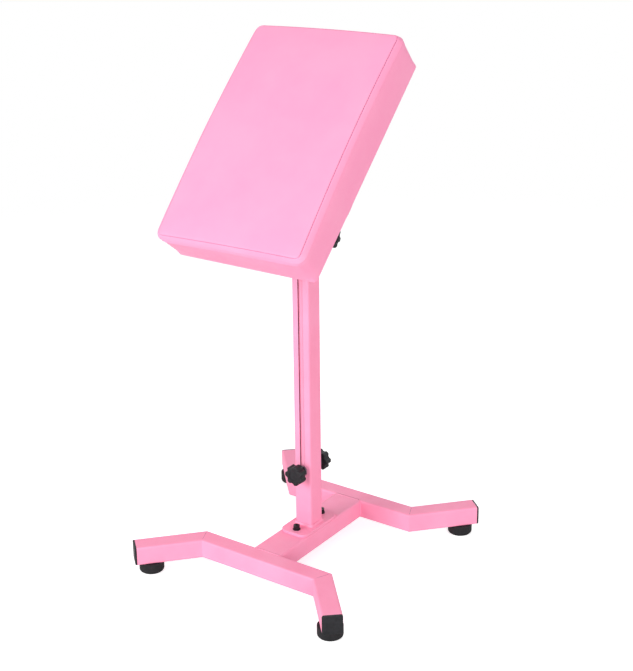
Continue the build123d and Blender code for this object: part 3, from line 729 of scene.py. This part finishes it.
def make_stitches(shaped, seam):
    """Row of lock stitches in the seam groove, their dark thread partly painted shade of the groove."""
    length, at = walk(seam_loop(shaped, seam))
    count = round(length / STITCH_PITCH)
    pitch = length / count
    points, faces = [], []
    lift = Vector((0, 0, SEAM_GROOVE * STITCH_DEPTH_SHARE))
    for n in range(count):
        start = at(n * pitch) + lift
        end = at(n * pitch + STITCH_LENGTH) + lift
        capsule(PAD @ start, PAD @ end, STITCH_RADIUS, points, faces)
    thread = mesh_object("seam_thread_and_shade", points, faces, THREAD_AND_SHADE)
    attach(thread, "pad")


def make_dust_cover():
    """Black cloth stapled under the pad, puckered at its staples and pressed flat by the plate."""
    columns = round(2 * CLOTH_HALF_WIDTH / CLOTH_CELL)
    rows = round(2 * CLOTH_HALF_LENGTH / CLOTH_CELL)
    pitch_x = 2 * (CLOTH_HALF_WIDTH - STAPLE_INSET) / STAPLES_ACROSS
    pitch_y = 2 * (CLOTH_HALF_LENGTH - STAPLE_INSET) / STAPLES_ALONG
    points = []
    for i in range(columns + 1):
        for j in range(rows + 1):
            x = CLOTH_HALF_WIDTH * (2 * i / columns - 1)
            y = CLOTH_HALF_LENGTH * (2 * j / rows - 1)
            from_edge = min(CLOTH_HALF_WIDTH - abs(x), CLOTH_HALF_LENGTH - abs(y))
            beyond = math.hypot(max(abs(x) - PLATE_HALF_WIDTH, 0), max(abs(y) - PLATE_HALF_LENGTH, 0))
            free = smooth_share(beyond / CLOTH_FREE_REACH) * smooth_share(from_edge / CLOTH_FREE_REACH)
            by_side = CLOTH_HALF_WIDTH - abs(x) < CLOTH_HALF_LENGTH - abs(y)
            phase = y / pitch_y if by_side else x / pitch_x + 0.5
            fall = math.exp(-from_edge / CLOTH_PUCKER_REACH)
            pucker = CLOTH_PUCKER * math.cos(2 * math.pi * phase) * fall
            sag = CLOTH_SAG * (CLOTH_SAG_MEAN + waves(x, y, *CLOTH_WAVES) * CLOTH_SAG_SWING)
            hem = -CLOTH_HEM_DROP if from_edge < CLOTH_HEM else 0.0
            height = CLOTH_MIDDLE + hem - free * (sag + max(pucker, -free * CLOTH_PUCKER))
            points.append(PAD @ Vector((x, y, height)))
    faces = []
    for i in range(columns):
        for j in range(rows):
            a = i * (rows + 1) + j
            faces.append([a, a + 1, a + rows + 2, a + rows + 1])
    cloth = mesh_object("dust_cover_cloth", points, faces, MATERIALS["dust_cloth"])
    thick = cloth.modifiers.new("thick", "SOLIDIFY")
    thick.thickness = CLOTH_THICKNESS
    thick.offset = 0
    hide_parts("dust_cover")
    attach(cloth, "pad")


def bend_place(side_sign, end_sign):
    """Where a crossbar and its arm meet, and the mitre's direction across the tube."""
    bend = Vector((side_sign * CROSSBAR_HALF_LENGTH, end_sign * CROSSBAR_SPACING / 2, LEG_MIDDLE))
    outward = Vector((side_sign * math.cos(SPLAY / 2), end_sign * math.sin(SPLAY / 2), 0))
    return bend, Vector((0, 0, 1)).cross(outward)


def make_mitre_lines():
    """Fine sunk line over the upper and lower face of each mitred joint of the base, dark pink as painted
    shade of the mitre gap.
    """
    reach = (TUBE_WIDTH / 2 - TUBE_CORNER) / math.cos(SPLAY / 2)
    for end_name, end_sign in (("front", -1), ("rear", 1)):
        for side_name, side_sign in (("left", -1), ("right", 1)):
            bend, across = bend_place(side_sign, end_sign)
            points, faces = [], []
            for face_sign in (-1, 1):
                rise = Vector((0, 0, face_sign * (TUBE_WIDTH / 2 - MITRE_LINE_RADIUS / 2)))
                start, end = bend + rise - across * reach, bend + rise + across * reach
                capsule(start, end, MITRE_LINE_RADIUS, points, faces)
            # painted shade: each line is a dark strip standing for the shadow in the mitre gap
            line = mesh_object(f"{end_name}_{side_name}_mitre_shade_line", points, faces, SHADE_LINE_FINISH)
            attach(line, "base")


def weld_bead(name, start, end, radius, body):
    """Rippled weld bead along a straight inside corner."""
    length = (end - start).length
    count = max(6, round(length / (WELD_RIPPLE / 4)))
    side, other = cross_axes(start, end)
    points = []
    for n in range(count + 1):
        share = n / count
        size = radius * (1 + WELD_RIPPLE_SHARE * math.sin(2 * math.pi * share * length / WELD_RIPPLE))
        size *= min(1.0, math.sqrt(min(share, 1 - share) * length / radius + WELD_BLUNT_END))
        for m in range(WELD_SIDES):
            angle = 2 * math.pi * m / WELD_SIDES
            ray = side * math.cos(angle) + other * math.sin(angle)
            points.append(start.lerp(end, share) + ray * size)
    faces = rod_faces(count + 1, WELD_SIDES)
    bead = mesh_object(name, points, faces, MATERIALS["powder_coat"])
    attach(bead, body)


def fill_weld(name, end_sign, face_sign):
    """Weld ground flush between the beam's end and the rounded edge of a crossbar."""
    half = BEAM_WIDTH / 2 - TUBE_CORNER
    edge = end_sign * (CROSSBAR_SPACING - TUBE_WIDTH) / 2
    section = [(0.0, 0.0)]
    for step in range(FILL_ARC_STEPS + 1):
        angle = math.pi / 2 * step / FILL_ARC_STEPS
        section.append((TUBE_CORNER * (1 - math.sin(angle)), TUBE_CORNER * (1 - math.cos(angle))))
    points = []
    for n in range(FILL_COLUMNS + 1):
        share = 2 * n / FILL_COLUMNS - 1
        proud = FILL_PROUD * (1 - share ** 8) * (1 + 0.5 * math.sin(n * FILL_WAVE))
        for out, down in section:
            lift = proud if down == 0 else 0.0
            height = face_sign * (TUBE_WIDTH / 2 - down + lift)
            points.append(Vector((half * share, edge + end_sign * out, LEG_MIDDLE + height)))
    faces = rod_faces(FILL_COLUMNS + 1, len(section))
    fill = mesh_object(name, points, faces, MATERIALS["powder_coat"])
    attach(fill, "base")


def make_base_welds():
    """Welds round the beam where it meets the crossbars."""
    for end_name, end_sign in (("front", -1), ("rear", 1)):
        for side_name, side_sign in (("left", -1), ("right", 1)):
            x = side_sign * BEAM_WIDTH / 2
            y = end_sign * (CROSSBAR_SPACING - TUBE_WIDTH) / 2
            low = Vector((x, y, LEG_MIDDLE - TUBE_WIDTH / 2 + TUBE_CORNER))
            high = Vector((x, y, LEG_MIDDLE + TUBE_WIDTH / 2 - TUBE_CORNER))
            weld_bead(f"{end_name}_{side_name}_beam_weld", low, high, WELD_BEAD_RADIUS, "base")
        for face_name, face_sign in (("top", 1), ("bottom", -1)):
            fill_weld(f"{end_name}_{face_name}_beam_weld", end_sign, face_sign)


def slot_outline(radius):
    """Outline of a clamp slot, shrunk to a radius, as places across and up the column."""
    outline = []
    for n in range(SLOT_ARC_STEPS + 1):
        angle = math.pi * n / SLOT_ARC_STEPS
        outline.append((radius * math.cos(angle), SLOT_HIGH + radius * math.sin(angle)))
    for n in range(SLOT_ARC_STEPS + 1):
        angle = math.pi * (1 + n / SLOT_ARC_STEPS)
        outline.append((radius * math.cos(angle), SLOT_LOW + radius * math.sin(angle)))
    return outline


def make_slot_shade_strips():
    """Thin black strip round the wall of each clamp slot, painted shade of the gap between the column's
    wall and the post.
    """
    outer = slot_outline(SLOT_RADIUS)
    inner = slot_outline(SLOT_RADIUS - SHADE_STRIP_THICKNESS)
    for name, side in (("front", -1), ("rear", 1)):
        points, faces = [], []
        for near, far in zip(outer, inner):
            section = ((near, SHADE_STRIP_FROM), (near, SHADE_STRIP_TO), (far, SHADE_STRIP_TO), (far, SHADE_STRIP_FROM))
            for (across, up), depth in section:
                points.append(Vector((across, side * depth, up)))
        count = len(outer)
        for n in range(count):
            a, b = 4 * n, 4 * ((n + 1) % count)
            for m in range(4):
                faces.append([a + m, a + (m + 1) % 4, b + (m + 1) % 4, b + m])
        # painted shade: a black strip stands for the shadow in the slot's gap
        shade_strip = mesh_object(f"{name}_slot_shade_strip", points, faces, MATERIALS["black_plastic"])
        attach(shade_strip, "base")


def make_cheek_welds():
    """Stitch welds between the cheeks of the tilt bracket and its plate."""
    for side_name, side_sign in (("left", -1), ("right", 1)):
        low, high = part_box(f"{side_name}_cheek")
        x = side_sign * max(abs(low[0]), abs(high[0]))
        for number, (start, end) in enumerate(CHEEK_WELDS, 1):
            first = PAD @ Vector((x, start, -PLATE_THICKNESS))
            last = PAD @ Vector((x, end, -PLATE_THICKNESS))
            weld_bead(f"{side_name}_cheek_weld_{number}", first, last, WELD_BEAD_RADIUS, "pad")


def make_stage():
    """Pale round floor that keeps the shadow, shows white to the camera and fades out at its rim."""
    rim = []
    for n in range(FLOOR_SIDES):
        angle = 2 * math.pi * n / FLOOR_SIDES
        rim.append((FLOOR_RADIUS * math.cos(angle), FLOOR_RADIUS * math.sin(angle), 0))
    material = bpy.data.materials.new("floor")
    material.use_nodes = True
    nodes, links = material.node_tree.nodes, material.node_tree.links
    nodes.clear()
    diffuse = nodes.new("ShaderNodeBsdfDiffuse")
    diffuse.inputs["Color"].default_value = (FLOOR_COLOUR, FLOOR_COLOUR, FLOOR_COLOUR, 1)
    glow = nodes.new("ShaderNodeEmission")
    rays = nodes.new("ShaderNodeLightPath")
    level = nodes.new("ShaderNodeMath")
    level.operation = "MULTIPLY"
    level.inputs[1].default_value = FLOOR_GLOW
    links.new(rays.outputs["Is Camera Ray"], level.inputs[0])
    links.new(level.outputs["Value"], glow.inputs["Strength"])
    both = nodes.new("ShaderNodeAddShader")
    links.new(diffuse.outputs["BSDF"], both.inputs[0])
    links.new(glow.outputs["Emission"], both.inputs[1])
    place = nodes.new("ShaderNodeTexCoord")
    distance = nodes.new("ShaderNodeVectorMath")
    distance.operation = "LENGTH"
    links.new(place.outputs["Object"], distance.inputs[0])
    fade = nodes.new("ShaderNodeMapRange")
    fade.interpolation_type = "SMOOTHSTEP"
    fade.inputs["From Min"].default_value = FLOOR_FADE_START
    fade.inputs["From Max"].default_value = FLOOR_RADIUS
    links.new(distance.outputs["Value"], fade.inputs["Value"])
    clear = nodes.new("ShaderNodeBsdfTransparent")
    mix = nodes.new("ShaderNodeMixShader")
    links.new(fade.outputs["Result"], mix.inputs["Fac"])
    links.new(both.outputs["Shader"], mix.inputs[1])
    links.new(clear.outputs["BSDF"], mix.inputs[2])
    output = nodes.new("ShaderNodeOutputMaterial")
    links.new(mix.outputs["Shader"], output.inputs["Surface"])
    floor = mesh_object("floor", rim, [list(range(FLOOR_SIDES))], material, False)


def make_world():
    """White to the camera and in reflections, a softer level as light."""
    world = bpy.data.worlds.new("studio")
    bpy.context.scene.world = world
    world.use_nodes = True
    nodes, links = world.node_tree.nodes, world.node_tree.links
    shade = nodes["Background"]
    rays = nodes.new("ShaderNodeLightPath")
    glossy = nodes.new("ShaderNodeMath")
    glossy.operation = "MAXIMUM"
    seen = nodes.new("ShaderNodeMath")
    seen.operation = "MAXIMUM"
    links.new(rays.outputs["Is Camera Ray"], glossy.inputs[0])
    links.new(rays.outputs["Is Glossy Ray"], glossy.inputs[1])
    links.new(glossy.outputs["Value"], seen.inputs[0])
    links.new(rays.outputs["Is Transmission Ray"], seen.inputs[1])
    level = nodes.new("ShaderNodeMapRange")
    level.inputs["To Min"].default_value = AMBIENT
    level.inputs["To Max"].default_value = 1.0
    links.new(seen.outputs["Value"], level.inputs["Value"])
    shade.inputs["Color"].default_value = (1, 1, 1, 1)
    links.new(level.outputs["Result"], shade.inputs["Strength"])


def direction(azimuth, elevation):
    """Unit vector from the object towards an azimuth and elevation in degrees."""
    a, e = math.radians(azimuth), math.radians(elevation)
    return Vector((math.sin(a) * math.cos(e), -math.cos(a) * math.cos(e), math.sin(e)))


def softbox(name, azimuth, elevation, distance, size, power):
    """Large area lamp that faces the middle of the object."""
    back = direction(azimuth, elevation)
    lamp = bpy.data.lights.new(name, "AREA")
    lamp.shape = "SQUARE"
    lamp.size = size
    lamp.energy = power
    obj = bpy.data.objects.new(name, lamp)
    obj.location = Vector(LAMP_TARGET) + back * distance
    obj.rotation_mode = "QUATERNION"
    obj.rotation_quaternion = (-back).to_track_quat("-Z", "Y")
    bpy.context.scene.collection.objects.link(obj)


def make_lamps():
    """Key from the front left, fill from the right, a weak lamp overhead and one behind."""
    for name, setting in LAMPS.items():
        softbox(name, *setting)


def make_camera():
    """Camera at the photograph's place."""
    azimuth, roll = math.radians(CAMERA_AZIMUTH), math.radians(CAMERA_ROLL)
    back = direction(CAMERA_AZIMUTH, CAMERA_ELEVATION)
    right = Vector((math.cos(azimuth), math.sin(azimuth), 0))
    up = back.cross(right)
    rolled_right = right * math.cos(roll) + up * math.sin(roll)
    rolled_up = up * math.cos(roll) - right * math.sin(roll)
    lens = bpy.data.cameras.new("camera")
    lens.sensor_width = SENSOR_MM
    lens.lens = FOCAL_PIXELS * SENSOR_MM / PHOTO_LONG_SIDE
    lens.clip_start = CLIP_NEAR
    lens.clip_end = CLIP_FAR
    camera = bpy.data.objects.new("camera", lens)
    turn = Matrix((rolled_right, rolled_up, back)).transposed()
    camera.rotation_mode = "QUATERNION"
    camera.rotation_quaternion = turn.to_quaternion()
    camera.location = CAMERA_PLACE
    bpy.context.scene.collection.objects.link(camera)
    bpy.context.scene.camera = camera


dress_nodes()
shaped_points, seam_points = make_cushion()
make_stitches(shaped_points, seam_points)
make_dust_cover()
make_mitre_lines()
make_base_welds()
make_cheek_welds()
make_slot_shade_strips()
make_stage()
make_world()
make_lamps()
make_camera()
bpy.context.scene.view_settings.view_transform = "Standard"
